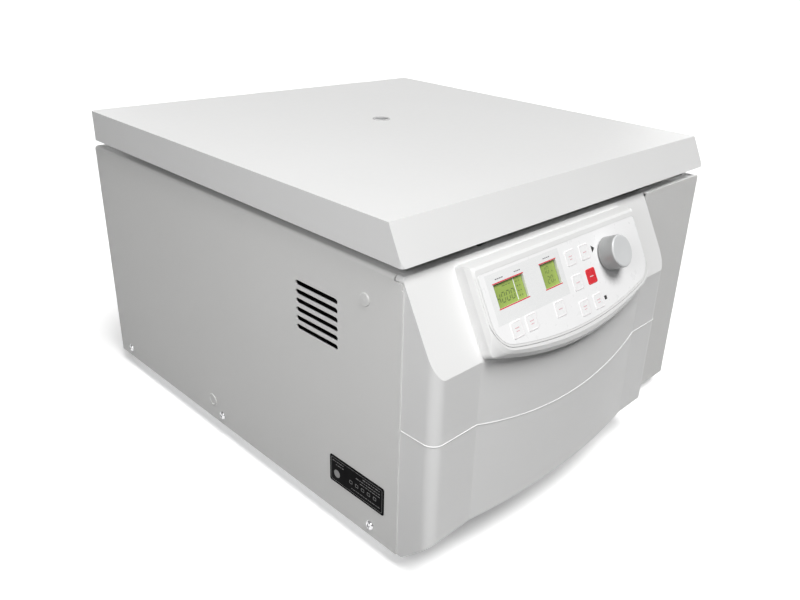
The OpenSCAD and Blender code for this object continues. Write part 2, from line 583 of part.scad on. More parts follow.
module vibration_mounts() {
  color([0.13, 0.13, 0.13]) for (x = [-74, 74], y = [-74, 74]) translate([x, ax_y + y, 0])
    rotate_extrude($fn = 64) polygon([[0, 15 + sheet], [17, 15 + sheet], [17, 24], [11, 30], [10, 70], [13, 76], [15, 82], [13.5, 89], [15, 96], [0, 96]]);
}
module shaft_boot() {
  color([0.15, 0.15, 0.15]) translate([0, ax_y, 0]) rotate_extrude($fn = 96)
    polygon([[21, 100], [34, 100], [34, 104], [27.5, 104], [27.5, 106], [26, 112], [18, 116], [11, 116], [11, 114], [17, 114], [23, 110], [24.5, 104], [21, 101.5]]);
}

// ---------- rear electrics ----------
fx = 110; fz = 95; fr = 41;
module fan_frame() {
  color([0.12, 0.12, 0.13]) difference() {
    union() {
      difference() {
        box([fx - 46, yr - 26.2, fz - 46], [fx + 46, yr - sheet, fz + 46]);
        ycyl(yr - 40, yr, fx, fz, fr + 2.5);
      }
      // motor hub carried on four struts
      box([fx - fr - 4, yr - 5.6, fz - 2.5], [fx + fr + 4, yr - 2.8, fz + 2.5]);
      box([fx - 2.5, yr - 5.6, fz - fr - 4], [fx + 2.5, yr - 2.8, fz + fr + 4]);
      ycyl(yr - 8, yr - 2.4, fx, fz, 17);
    }
    ycyl(yr - 9, yr - 4, fx, fz, 2.05);
    for (x = [-41, 41], z = [-41, 41]) ycyl(yr - 40, yr, fx + x, fz + z, 2.2);
  }
}
module fan_impeller() {
  color([0.16, 0.16, 0.17]) {
    difference() {
      ycyl(yr - 25.5, yr - 8.6, fx, fz, 16.5);
      ycyl(yr - 15, yr - 8, fx, fz, 14);
    }
    ycyl(yr - 16, yr - 4.5, fx, fz, 2);
    intersection() {
      for (i = [0 : 6]) translate([fx, yr - 17, fz]) rotate([0, i * 360 / 7, 0]) translate([14, 0, 0]) rotate([38, 0, 0]) translate([0, -9, -0.9]) cube([27.5, 18, 1.8]);
      ycyl(yr - 25, yr - 9, fx, fz, fr);
    }
  }
}
module power_inlet() { // appliance inlet and switch housing in one moulding
  color([0.08, 0.08, 0.08]) difference() {
    union() {
      box([-153.8, yr - 26, 47.2], [-88.2, yr, 68.8]);
      box([-165, yr, 44.5], [-77, yr + 3, 71.5]);
    }
    box([-152, yr - 17, 50.2], [-128, yr + 5, 65.8]);
    box([-109.8, yr - 12, 48.5], [-94.2, yr + 5, 67.5]);
    xcyl(-112.2, -91.8, yr - 1, 58, 2.05);
    for (x = [-160, -82]) ycyl(yr - 1, yr + 5, x, 58, 1.7);
  }
  color([0.75, 0.7, 0.5]) for (p = [[-147, 56.5], [-140, 60.5], [-133, 56.5]]) box([p[0] - 1, yr - 18, p[1] - 2.2], [p[0] + 1, yr - 1, p[1] + 2.2]);
}
module rocker_switch() {
  color([0.1, 0.1, 0.1]) translate([0, yr - 1, 58]) rotate([8, 0, 0]) {
    difference() {
      box([-109.4, -4, -8.2], [-94.6, 6.2, 8.2]);
      xcyl(-112, -92, 46, 0, 41);
    }
    xcyl(-111.6, -92.4, 0, 0, 2);
  }
}
module drive_inverter() {
  color([0.6, 0.61, 0.62]) {
    box([-190, -176, 30], [-112, -88, 34]);
    for (i = [0 : 9]) box([-188 + i * 8, -174, 34], [-185 + i * 8, -90, 62]);
    for (x = [-180, -122], y = [-168, -96]) translate([x, y, 15 + sheet]) cylinder(r = 4, h = 30 - 15 - sheet, $fn = 32);
  }
}

base_pan();
left_side_panel();
right_side_panel();
rear_panel();
front_bulkhead();
top_deck();
fascia_upper();
fascia_lower();
control_bezel();
membrane_overlay();
display_window_left();
display_window_right();
control_board();
knob_encoder();
speed_knob();
key_program();
key_recall();
key_time();
key_temperature();
key_radius();
key_brake();
key_short_spin();
key_start();
key_stop();
rating_plate();
release_plug();
knockout_plug();
side_screws_left();
side_screws_right();
rear_screws();
feet();
lid_shell();
lid_liner();
lid_stiffeners();
sight_port_ring();
sight_glass();
lid_strikers();
lid_hinge_arms();
hinge_brackets();
hinge_pins();
latch_frames();
latch_pins();
latch_hook_left();
latch_hook_right();
bowl();
bowl_gasket();
rotor();
rotor_nut();
drive_shaft();
motor_armature();
motor_housing();
motor_bearings();
motor_plate();
vibration_mounts();
shaft_boot();
fan_frame();
fan_impeller();
power_inlet();
rocker_switch();
drive_inverter();
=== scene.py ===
import bpy, bmesh, json, math
from mathutils import Vector, Matrix


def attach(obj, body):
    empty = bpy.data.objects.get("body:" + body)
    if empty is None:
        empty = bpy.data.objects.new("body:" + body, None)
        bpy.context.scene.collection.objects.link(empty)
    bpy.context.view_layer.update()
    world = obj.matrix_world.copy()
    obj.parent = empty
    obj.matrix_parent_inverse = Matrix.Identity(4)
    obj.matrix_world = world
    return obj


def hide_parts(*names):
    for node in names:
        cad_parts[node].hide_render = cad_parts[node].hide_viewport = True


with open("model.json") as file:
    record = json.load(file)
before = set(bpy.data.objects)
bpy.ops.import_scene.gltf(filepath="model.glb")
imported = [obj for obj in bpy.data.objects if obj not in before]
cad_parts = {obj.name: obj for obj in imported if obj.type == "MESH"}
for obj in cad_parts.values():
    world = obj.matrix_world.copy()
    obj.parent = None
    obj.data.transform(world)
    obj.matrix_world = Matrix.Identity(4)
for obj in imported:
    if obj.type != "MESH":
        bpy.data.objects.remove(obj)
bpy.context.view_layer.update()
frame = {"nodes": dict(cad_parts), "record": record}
NODES = frame["nodes"]
SLOT_OF = {s["node"]: s["material_slot"] for s in frame["record"]["subparts"]}
scene = bpy.context.scene

# ------------------------------------------------------------------ camera
cam_data = bpy.data.cameras.new("camera")
cam = bpy.data.objects.new("camera", cam_data)
scene.collection.objects.link(cam)
cam_data.lens, cam_data.sensor_width = 33.884, 36.0
cam_data.shift_x, cam_data.shift_y = -0.0607, -0.0144
cam_data.clip_start, cam_data.clip_end = 0.01, 400.0
X = Vector((0.67829, -0.73303, 0.05088)).normalized()
Z = Vector((-0.68475, -0.60547, 0.40561)).normalized()
Y = Z.cross(X).normalized()
X = Y.cross(Z).normalized()
m = Matrix((X, Y, Z)).transposed().to_4x4()
m.translation = Vector((-0.541756, -0.534655, 0.455619))
cam.matrix_world = m
scene.camera = cam

# ------------------------------------------------------------------ light
scene.view_settings.view_transform = "Standard"
scene.view_settings.look = "None"
world = bpy.data.worlds.new("studio")
world.use_nodes = True
world.node_tree.nodes["Background"].inputs[0].default_value = (0.985, 0.992, 1.0, 1)
wn = world.node_tree
wp = wn.nodes.new("ShaderNodeLightPath")
wm = wn.nodes.new("ShaderNodeMapRange")
wm.inputs["To Min"].default_value = 0.05
wm.inputs["To Max"].default_value = 0.26
wn.links.new(wp.outputs["Is Glossy Ray"], wm.inputs["Value"])
wa = wn.nodes.new("ShaderNodeMath")
wa.operation = "ADD"
wn.links.new(wm.outputs["Result"], wa.inputs[0])
wn.links.new(wp.outputs["Is Camera Ray"], wa.inputs[1])
wn.links.new(wa.outputs["Value"], wn.nodes["Background"].inputs[1])
scene.world = world


def sun(name, direction, strength, angle, colour=(1, 1, 1)):
    d = bpy.data.lights.new(name, "SUN")
    d.energy, d.angle, d.color = strength, math.radians(angle), colour
    o = bpy.data.objects.new(name, d)
    scene.collection.objects.link(o)
    o.rotation_mode = "QUATERNION"
    o.rotation_quaternion = Vector(direction).to_track_quat("Z", "Y")
    return o


sun("front_softbox", (-0.06, -0.452, 0.890), 3.17, 30, (1.0, 0.999, 0.995))
sun("right_softbox", (1.0, 0.20, 0.0), 1.65, 34)
sun("rear_softbox", (0.10, 1.0, 0.0), 1.65, 34)
sun("left_fill", (-1.0, 0.35, 0.02), 0.02, 40)
ld = bpy.data.lights.new("left_softbox", "AREA")
ld.shape, ld.size, ld.size_y, ld.energy = "RECTANGLE", 0.4, 0.4, 3.45
lo_ = bpy.data.objects.new("left_softbox", ld)
scene.collection.objects.link(lo_)
lo_.location = (-0.86, -0.36, 0.56)
lo_.rotation_mode = "QUATERNION"
lo_.rotation_quaternion = (Vector((-0.86, -0.36, 0.56)) - Vector((-0.215, -0.05, 0.16))).to_track_quat("Z", "Y")

# ------------------------------------------------------------------ materials


def new_mat(name):
    mt = bpy.data.materials.new(name)
    mt.use_nodes = True
    nt = mt.node_tree
    return mt, nt, nt.nodes["Principled BSDF"]


def node(nt, kind, **kw):
    n = nt.nodes.new(kind)
    for k, v in kw.items():
        if k in ("loc",):
            continue
        setattr(n, k, v)
    return n


def coords(nt, scale=(1, 1, 1), loc=(0, 0, 0), rot=(0, 0, 0)):
    tc = node(nt, "ShaderNodeTexCoord")
    mp = node(nt, "ShaderNodeMapping")
    mp.inputs["Location"].default_value = loc
    mp.inputs["Rotation"].default_value = rot
    mp.inputs["Scale"].default_value = scale
    nt.links.new(tc.outputs["Object"], mp.inputs["Vector"])
    return mp.outputs["Vector"]


def noise(nt, vec, scale, detail=2.0, rough=0.5):
    n = node(nt, "ShaderNodeTexNoise")
    n.inputs["Scale"].default_value = scale
    n.inputs["Detail"].default_value = detail
    n.inputs["Roughness"].default_value = rough
    nt.links.new(vec, n.inputs["Vector"])
    return n.outputs["Fac"]


def remap(nt, fac, a, b, lo, hi):
    n = node(nt, "ShaderNodeMapRange")
    n.inputs["From Min"].default_value = a
    n.inputs["From Max"].default_value = b
    n.inputs["To Min"].default_value = lo
    n.inputs["To Max"].default_value = hi
    nt.links.new(fac, n.inputs["Value"])
    return n.outputs["Result"]


def mix(nt, fac, a, b):
    n = node(nt, "ShaderNodeMix", data_type="RGBA")
    nt.links.new(fac, n.inputs["Factor"])
    for sock, v in ((n.inputs[6], a), (n.inputs[7], b)):
        if isinstance(v, (tuple, list)):
            sock.default_value = (*v[:3], 1)
        else:
            nt.links.new(v, sock)
    return n.outputs[2]


def tint(c, f):
    return tuple(max(0, min(1, x * f)) for x in c)


def bump(nt, bsdf, height, strength, distance, under=None):
    b = node(nt, "ShaderNodeBump")
    b.inputs["Strength"].default_value = strength
    b.inputs["Distance"].default_value = distance
    nt.links.new(height, b.inputs["Height"])
    if under is not None:
        nt.links.new(under, b.inputs["Normal"])
    nt.links.new(b.outputs["Normal"], bsdf.inputs["Normal"])
    return b.outputs["Normal"]


def moulded(name, base, rough=0.45, grain=1400.0, depth=0.00003, mottle=0.02, spec=0.5, coat=0.0, bottom_darkening=0.0):
    """Moulded plastic or powder coat: fine surface grain, slow tone drift, gloss that varies."""
    mt, nt, b = new_mat(name)
    v = coords(nt)
    slow = noise(nt, v, 5.5, 3.0)
    fine = noise(nt, v, grain, 2.0, 0.6)
    mid = noise(nt, v, 160.0, 3.0)
    col = mix(nt, remap(nt, slow, 0.3, 0.7, 0.0, 1.0), tint(base, 1 - mottle), tint(base, 1 + mottle * 0.6))
    col = mix(nt, remap(nt, fine, 0.35, 0.65, 0.0, 0.10), col, tint(base, 0.93))
    # darker towards the bottom: from 12 cm down to 1.5 cm above the floor the colour is mixed towards a darker tint,
    # by up to this fraction
    if bottom_darkening:
        geo = node(nt, "ShaderNodeSeparateXYZ")
        nt.links.new(v, geo.inputs[0])
        low = remap(nt, geo.outputs["Z"], 0.015, 0.12, bottom_darkening, 0.0)
        col = mix(nt, low, col, tint(base, 0.8))
    nt.links.new(col, b.inputs["Base Color"])
    nt.links.new(remap(nt, mid, 0.3, 0.7, rough - 0.04, rough + 0.05), b.inputs["Roughness"])
    b.inputs["Specular IOR Level"].default_value = spec
    if coat:
        b.inputs["Coat Weight"].default_value = coat
        b.inputs["Coat Roughness"].default_value = 0.12
    nb = bump(nt, b, fine, 0.55, depth)
    bump(nt, b, mid, 0.25, depth * 2.5, nb)
    return mt


def metal(name, base, rough=0.32, stretch=(4, 260, 260), rot=(0, 0, 0), grain=1.0, strength=0.35, depth=0.00002, patchy=0.05):
    """Rolled or brushed metal: long fine scratches, slow patchiness."""
    mt, nt, b = new_mat(name)
    v = coords(nt)
    vs = coords(nt, stretch, rot=rot)
    lines = noise(nt, vs, 6.0 * grain, 4.0, 0.65)
    slow = noise(nt, v, 22.0, 4.0)
    col = mix(nt, remap(nt, slow, 0.3, 0.7, 0, 1), tint(base, 1 - patchy), tint(base, 1 + patchy))
    col = mix(nt, remap(nt, lines, 0.35, 0.7, 0, 0.22), col, tint(base, 0.78))
    nt.links.new(col, b.inputs["Base Color"])
    b.inputs["Metallic"].default_value = 1.0
    nt.links.new(remap(nt, lines, 0.3, 0.7, rough - 0.07, rough + 0.09), b.inputs["Roughness"])
    bump(nt, b, lines, strength, depth)
    return mt


def turned(name, base, rough, metallic, centre, pitch=0.0011, depth=0.00002, strength=0.5, dust=0.06):
    """Turned or spun about an upright axis: fine concentric tool marks."""
    mt, nt, b = new_mat(name)
    v = coords(nt, loc=(-centre[0], -centre[1], 0))
    w = node(nt, "ShaderNodeTexWave", wave_type="RINGS", rings_direction="Z")
    w.inputs["Scale"].default_value = 1.0 / pitch / 6.2832 * 2.0
    w.inputs["Distortion"].default_value = 0.6
    w.inputs["Detail"].default_value = 2.0
    w.inputs["Detail Scale"].default_value = 1.5
    nt.links.new(v, w.inputs["Vector"])
    slow = noise(nt, v, 14.0, 4.0)
    col = mix(nt, remap(nt, slow, 0.3, 0.7, 0, 1), tint(base, 1 - dust), tint(base, 1 + dust))
    col = mix(nt, remap(nt, w.outputs["Fac"], 0, 1, 0, 0.12), col, tint(base, 0.8))
    nt.links.new(col, b.inputs["Base Color"])
    b.inputs["Metallic"].default_value = metallic
    nt.links.new(remap(nt, slow, 0.3, 0.7, rough - 0.05, rough + 0.06), b.inputs["Roughness"])
    bump(nt, b, w.outputs["Fac"], strength, depth)
    return mt


def ink(name, base, rough=0.4):
    """Screen-printed ink: slightly uneven laydown."""
    mt, nt, b = new_mat(name)
    v = coords(nt)
    f = noise(nt, v, 2600.0, 2.0)
    nt.links.new(mix(nt, remap(nt, f, 0.35, 0.65, 0, 1), tint(base, 0.94), tint(base, 1.05)), b.inputs["Base Color"])
    nt.links.new(remap(nt, f, 0.3, 0.7, rough - 0.05, rough + 0.05), b.inputs["Roughness"])
    bump(nt, b, f, 0.3, 0.00001)
    return mt


def lcd_mat(name, base):
    """Reflective display: a fine cell grid under a glossy front."""
    mt, nt, b = new_mat(name)
    # across and down the sloping face
    v = coords(nt, rot=(math.radians(-62), 0, 0))
    g = node(nt, "ShaderNodeTexBrick")
    g.offset = 0.0
    g.inputs["Scale"].default_value = 1.0
    g.inputs["Brick Width"].default_value = 0.00052
    g.inputs["Row Height"].default_value = 0.00052
    g.inputs["Mortar Size"].default_value = 0.00005
    g.inputs["Color1"].default_value = (*base, 1)
    g.inputs["Color2"].default_value = (*tint(base, 0.97), 1)
    g.inputs["Mortar"].default_value = (*tint(base, 0.88), 1)
    nt.links.new(v, g.inputs["Vector"])
    slow = noise(nt, coords(nt), 60.0, 2.0)
    col = mix(nt, remap(nt, slow, 0.3, 0.7, 0, 0.5), g.outputs["Color"], tint(base, 0.86))
    nt.links.new(col, b.inputs["Base Color"])
    nt.links.new(remap(nt, slow, 0.3, 0.7, 0.16, 0.24), b.inputs["Roughness"])
    b.inputs["Coat Weight"].default_value = 0.5
    b.inputs["Coat Roughness"].default_value = 0.05
    return mt


def knob_mat():
    """Satin knob: a paler end face, a greyer grip with fine fluting."""
    mt = moulded("knob_plastic", (0.66, 0.67, 0.675), 0.33, 1900, 0.00002, 0.012, 0.5, coat=0.15)
    nt = mt.node_tree
    b = nt.nodes["Principled BSDF"]
    tc = node(nt, "ShaderNodeTexCoord")
    d = node(nt, "ShaderNodeVectorMath", operation="DOT_PRODUCT")
    nt.links.new(tc.outputs["Object"], d.inputs[0])
    d.inputs[1].default_value = (0.0, -0.882948, 0.469472)
    base = 0.205 * 0.882948 + 0.251 * 0.469472
    f = remap(nt, d.outputs["Value"], base + 0.0296, base + 0.0303, 0.0, 1.0)
    old = b.inputs["Base Color"].links[0].from_socket
    nt.links.new(mix(nt, f, (0.335, 0.34, 0.34), old), b.inputs["Base Color"])
    return mt


AX = (0.0, 0.0517)
M = {
    # panel paint and fascia plastic are made darker towards the bottom
    "panel_paint": moulded("panel_paint", (0.770, 0.768, 0.758), 0.46, 1100, 0.00005, 0.015, 0.45, bottom_darkening=0.05),
    "lid_paint": moulded("lid_paint", (0.785, 0.785, 0.782), 0.44, 1100, 0.00005, 0.012, 0.45),
    "fascia_plastic": moulded("fascia_plastic", (0.800, 0.800, 0.797), 0.44, 1700, 0.00003, 0.010, 0.45, bottom_darkening=0.03),
    # paler than the fascia plastic: the lip's colour is a painted highlight along the parting line
    "lip_painted_highlight": moulded("lip_painted_highlight", (0.90, 0.90, 0.90), 0.30, 1700, 0.00002, 0.010, 0.6),
    "bezel_plastic": moulded("bezel_plastic", (0.800, 0.800, 0.796), 0.34, 2100, 0.00002, 0.010),
    "overlay_film": moulded("overlay_film", (0.915, 0.915, 0.918), 0.30, 2600, 0.000015, 0.006, 0.5),
    "deck_plastic": moulded("deck_plastic", (0.60, 0.60, 0.59), 0.5, 1300, 0.00005, 0.03),
    "liner_plastic": moulded("liner_plastic", (0.40, 0.41, 0.42), 0.55, 900, 0.00008, 0.04),
    "ring_plastic": moulded("ring_plastic", (0.55, 0.55, 0.55), 0.35, 1500, 0.00002, 0.03),
    "circuit_board": moulded("circuit_board", (0.02, 0.16, 0.07), 0.3, 900, 0.00004, 0.12),
    "knob_plastic": knob_mat(),
    "key_white": moulded("key_white", (0.905, 0.905, 0.907), 0.28, 2600, 0.000015, 0.006),
    "key_red": moulded("key_red", (0.72, 0.028, 0.040), 0.28, 2600, 0.000015, 0.02),
    "plate_black": moulded("plate_black", (0.004, 0.004, 0.0045), 0.60, 1500, 0.00002, 0.1, 0.02),
    "plug_plastic": moulded("plug_plastic", (0.74, 0.74, 0.73), 0.36, 1500, 0.00002, 0.02),
    "zinc_steel": metal("zinc_steel", (0.60, 0.61, 0.62), 0.36),
    "screw_steel": metal("screw_steel", (0.66, 0.66, 0.67), 0.26, (120, 120, 120), grain=2.0),
    "hook_steel": metal("hook_steel", (0.62, 0.53, 0.30), 0.32, (200, 200, 8)),
    "stainless": turned("stainless", (0.66, 0.66, 0.67), 0.24, 1.0, AX, 0.0014),
    "rotor_alloy": turned("rotor_alloy", (0.36, 0.37, 0.41), 0.30, 1.0, AX, 0.0009),
    "nut_alloy": turned("nut_alloy", (0.045, 0.045, 0.05), 0.34, 0.6, AX, 0.0008),
    "armature": metal("armature", (0.42, 0.24, 0.13), 0.45, (80, 80, 900)),
    "motor_cast": moulded("motor_cast", (0.16, 0.17, 0.18), 0.55, 420, 0.00018, 0.08),
    "rubber_black": moulded("rubber_black", (0.022, 0.022, 0.022), 0.72, 800, 0.00008, 0.15, 0.3),
    "fan_plastic": moulded("fan_plastic", (0.02, 0.02, 0.021), 0.42, 1300, 0.00003, 0.1),
    "inlet_plastic": moulded("inlet_plastic", (0.016, 0.016, 0.016), 0.30, 1500, 0.00002, 0.1),
    "heatsink": metal("heatsink", (0.62, 0.63, 0.64), 0.34, (260, 4, 260)),
    "sight_lens": moulded("sight_lens", (0.20, 0.21, 0.22), 0.10, 1500, 0.000005, 0.05, 0.6, coat=0.6),
    "lcd": lcd_mat("lcd", (0.370, 0.495, 0.115)),
}
INK = {
    "red": ink("ink_red", (0.70, 0.030, 0.040)),
    "pink": ink("ink_pink", (0.72, 0.40, 0.44)),
    "black": ink("ink_black", (0.012, 0.012, 0.012)),
    "grey": ink("ink_grey", (0.16, 0.16, 0.17)),
    "white": ink("ink_white", (0.86, 0.86, 0.86)),
    "pale": ink("ink_pale", (0.825, 0.83, 0.83)),
    "plate": ink("ink_plate", (0.20, 0.20, 0.20)),
    "seg": ink("lcd_segment", (0.105, 0.150, 0.045)),
    "outline": ink("ink_outline", (0.78, 0.66, 0.68)),
}

# ------------------------------------------------------------------ CAD nodes: finish and edges
BEVEL = {
    "lid_shell": 0.0009, "speed_knob": 0.0004, "feet": 0.0005,
    "key_stop": 0.0002, "rocker_switch": 0.0006, "latch_hook_left": 0.0003, "latch_hook_right": 0.0003,
}
for name, o in NODES.items():
    mt = M[SLOT_OF[name]]
    o.data.materials.clear()
    o.data.materials.append(mt)
    width = BEVEL.get(name, 0.0)
    if name.startswith("key_"):
        width = 0.0002
    if width > 0:
        w = o.modifiers.new("weld", "WELD")
        w.merge_threshold = 0.000002
        b = o.modifiers.new("edges", "BEVEL")
        b.width, b.segments, b.limit_method = width, 3, "ANGLE"
        b.angle_limit = math.radians(30)
        b.use_clamp_overlap = True
        b.miter_outer = "MITER_ARC"
        n = o.modifiers.new("normals", "WEIGHTED_NORMAL")
        n.mode, n.weight, n.keep_sharp = "FACE_AREA", 60, False
    elif name.startswith("fascia_"):
        w = o.modifiers.new("weld", "WELD")
        w.merge_threshold = 0.000002
        e = o.modifiers.new("creases", "EDGE_SPLIT")
        e.split_angle, e.use_edge_sharp = math.radians(24), False

# ------------------------------------------------------------------ mesh helpers
TILT = math.radians(28.0)
DOWN = Vector((0, -math.sin(TILT), -math.cos(TILT)))
OUT = Vector((0, -math.cos(TILT), math.sin(TILT)))
S0 = Vector((0, -0.205, 0.251))


def on_slope(x, s, t):
    """A point on the sloping face: across, down from its top edge and out of it, in mm."""
    return S0 + Vector((x / 1000, 0, 0)) + DOWN * (s / 1000) + OUT * (t / 1000)


def on_left(y, z, t, x0=-215.0):
    """A point on the left panel: along Y, up, and out of it, in mm."""
    return Vector(((x0 - t) / 1000, y / 1000, z / 1000))


def slab(bm, pts, place, t0, t1):
    """A flat closed outline as a thin slab from t0 to t1; place turns (a, b, t) into a point."""
    lo = [bm.verts.new(place(a, b, t0)) for a, b in pts]
    hi = [bm.verts.new(place(a, b, t1)) for a, b in pts]
    n = len(pts)
    fs = [bm.faces.new(hi), bm.faces.new(list(reversed(lo)))]
    for i in range(n):
        fs.append(bm.faces.new((lo[i], lo[(i + 1) % n], hi[(i + 1) % n], hi[i])))
    return fs


def ring(bm, outer, inner, place, t0, t1):
    n = len(outer)
    v = [[bm.verts.new(place(a, b, t)) for a, b in pts] for pts, t in ((outer, t0), (outer, t1), (inner, t1), (inner, t0))]
    for k in range(4):
        a, b = v[k], v[(k + 1) % 4]
        for i in range(n):
            j = (i + 1) % n
            bm.faces.new((a[i], a[j], b[j], b[i]))


def rrect(cx, cy, w, h, r, n=5):
    pts = []
    for sx, sy, a0 in ((1, 1, 0), (-1, 1, 90), (-1, -1, 180), (1, -1, 270)):
        for i in range(n + 1):
            a = math.radians(a0 + 90 * i / n)
            pts.append((cx + sx * (w / 2 - r) + r * math.cos(a), cy + sy * (h / 2 - r) + r * math.sin(a)))
    return pts


def bar(cx, cy, w, h):
    return rrect(cx, cy, w, h, min(w, h) * 0.3, 3)


def piece(name, build, mat, body, replaces=None, smooth=False):
    bm = bmesh.new()
    build(bm)
    bmesh.ops.recalc_face_normals(bm, faces=bm.faces)
    me = bpy.data.meshes.new(name)
    bm.to_mesh(me)
    bm.free()
    me.materials.append(mat)
    if smooth:
        for p in me.polygons:
            p.use_smooth = True
    o = bpy.data.objects.new(name, me)
    scene.collection.objects.link(o)
    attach(o, body)
    if replaces:
        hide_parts(*replaces)
    return o


# seven bars of a digit, on a cell 1 wide and 2 high, from its lower left corner
SEGS = {"a": (0.5, 2.0, 0), "b": (1.0, 1.5, 1), "c": (1.0, 0.5, 1), "d": (0.5, 0.0, 0), "e": (0.0, 0.5, 1), "f": (0.0, 1.5, 1), "g": (0.5, 1.0, 0)}
DIGITS = {"0": "abcdef", "1": "bc", "2": "abged", "3": "abgcd", "4": "fgbc", "5": "afgcd", "6": "afgedc", "7": "abc", "8": "abcdefg", "9": "abcdfg"}


def digits(bm, text, x, s, h, t0, t1, slant=0.12):
    """Bar digits with their upper left corner at x across and s down the face, h mm high."""
    u = h / 2
    for ch in text:
        for k in DIGITS[ch]:
            cx, cy, up = SEGS[k]
            L, T = u * 0.80, u * 0.20
            half = L / 2
            raw = [(-half, 0), (-half + T / 2, T / 2), (half - T / 2, T / 2), (half, 0), (half - T / 2, -T / 2), (-half + T / 2, -T / 2)]
            pts = []
            for a, b in raw:
                if up:
                    a, b = b, a
                px, py = cx * u * 0.95 + a, cy * u + b
                pts.append((x + px + py * slant, s + h - py))
            slab(bm, pts, on_slope, t0, t1)
        x += u * 1.55


# ------------------------------------------------------------------ displays
PT = 15.0
FACE = PT + 0.2            # face of the overlay
LCD_T = PT - 2.3           # face of the display, set back behind its opening


def lcd_block(x0, x1, s0, s1):
    def build(bm):
        pts = rrect((x0 + x1) / 2, (s0 + s1) / 2, x1 - x0, s1 - s0, 0.4, 3)
        slab(bm, pts, on_slope, 8.0, LCD_T)
    return build


piece("display_left", lcd_block(-148, -112.3, 21.4, 40), M["lcd"], "housing", ["display_window_left"])
piece("display_right", lcd_block(-91.7, -69.9, 20.7, 40.9), M["lcd"], "housing", ["display_window_right"])


def left_marks(bm):
    a, b = LCD_T - 0.02, LCD_T + 0.03
    digits(bm, "4000", -145.5, 29.5, 7.2, a, b)
    for i, w in enumerate((3.2, 1.6, 2.6)):
        slab(bm, bar(-134.5 + i * 3.4, 25.0, w, 0.55), on_slope, a, b)
    for i in range(4):
        slab(bm, bar(-119.6, 25.6 + i * 3.7, 1.5, 0.8), on_slope, a, b)
        slab(bm, bar(-116.6, 25.6 + i * 3.7, 1.1, 0.8), on_slope, a, b)


def right_marks(bm):
    a, b = LCD_T - 0.02, LCD_T + 0.03
    digits(bm, "10", -86.0, 24.2, 5.4, a, b)
    digits(bm, "20", -83.5, 32.2, 5.4, a, b)
    for x, s in ((-75.2, 29.0), (-74.6, 37.0)):
        slab(bm, bar(x, s, 1.6, 0.55), on_slope, a, b)


piece("display_left_marks", left_marks, INK["seg"], "housing")
piece("display_right_marks", right_marks, INK["seg"], "housing")
piece("display_divider", lambda bm: slab(bm, bar(-122.6, 30.7, 0.8, 17.0), on_slope, LCD_T - 0.02, LCD_T + 0.12), INK["white"], "housing")

# ------------------------------------------------------------------ print on the overlay
P0, P1 = FACE - 0.03, FACE + 0.035


def red_lines(bm):
    for x0, x1, s in ((-148.4, -111.9, 21.2), (-148.4, -111.9, 40.2), (-92.1, -69.5, 20.5), (-92.1, -69.5, 41.1)):
        slab(bm, bar((x0 + x1) / 2, s, x1 - x0, 0.8), on_slope, P0, P1 + 0.01)


def icons_black(bm):
    slab(bm, [(-19.9, 21.9), (-15.6, 25.0), (-19.9, 28.2)], on_slope, P0, P1)
    slab(bm, rrect(-20.0, 67.5, 3.4, 3.4, 0.25, 2), on_slope, P0, P1)


def captions(bm):
    for x, s, w in ((-139.5, 18.4, 9.0), (-118.0, 18.2, 7.5), (-80.8, 17.4, 8.6)):
        n, gap = 4, 0.5
        wi = (w - gap * (n - 1)) / n
        for i in range(n):
            slab(bm, bar(x - w / 2 + wi / 2 + i * (wi + gap), s, wi, 0.75), on_slope, P0, P1)


def field_with_windows(bm):
    # the pale field, built as strips that leave both windows open
    xs = [-157, -148.9, -111.4, -92.6, -69.0, -63]
    strips = [(-154, -147.7, 13.4, 51.5), (-147.7, -112.6, 13.4, 21.7), (-147.7, -112.6, 39.7, 51.5),
              (-112.6, -91.4, 13.4, 51.5), (-91.4, -70.2, 13.4, 21.0), (-91.4, -70.2, 40.6, 51.5), (-70.2, -64.0, 13.4, 51.5)]
    for x0, x1, s0, s1 in strips:
        slab(bm, [(x0, s0), (x1, s0), (x1, s1), (x0, s1)], on_slope, P0, FACE + 0.012)


piece("overlay_field", field_with_windows, INK["pale"], "housing")
piece("overlay_red_lines", red_lines, INK["red"], "housing")
piece("overlay_icons", icons_black, INK["black"], "housing")
piece("overlay_captions", captions, INK["grey"], "housing")

KEYS = {"key_program": (-136.6, 58.6), "key_recall": (-118.7, 58.6), "key_time": (-82, 59), "key_temperature": (-51, 67.4),
        "key_radius": (-51, 45.8), "key_brake": (-51, 25), "key_short_spin": (-30.7, 67.4), "key_start": (-30.7, 25), "key_stop": (-30.7, 45.8)}
KT = PT + 0.6


def frustum_rim(bm, cx, cy, place, steps):
    """A closed ring through square sections (side, radius, height) in order, the first joined to the last."""
    loops = [[bm.verts.new(place(a, b, t)) for a, b in rrect(cx, cy, w, w, r, 5)] for w, r, t in steps]
    n = len(loops[0])
    for k in range(len(loops)):
        a, b = loops[k], loops[(k + 1) % len(loops)]
        for i in range(n):
            bm.faces.new((a[i], a[(i + 1) % n], b[(i + 1) % n], b[i]))


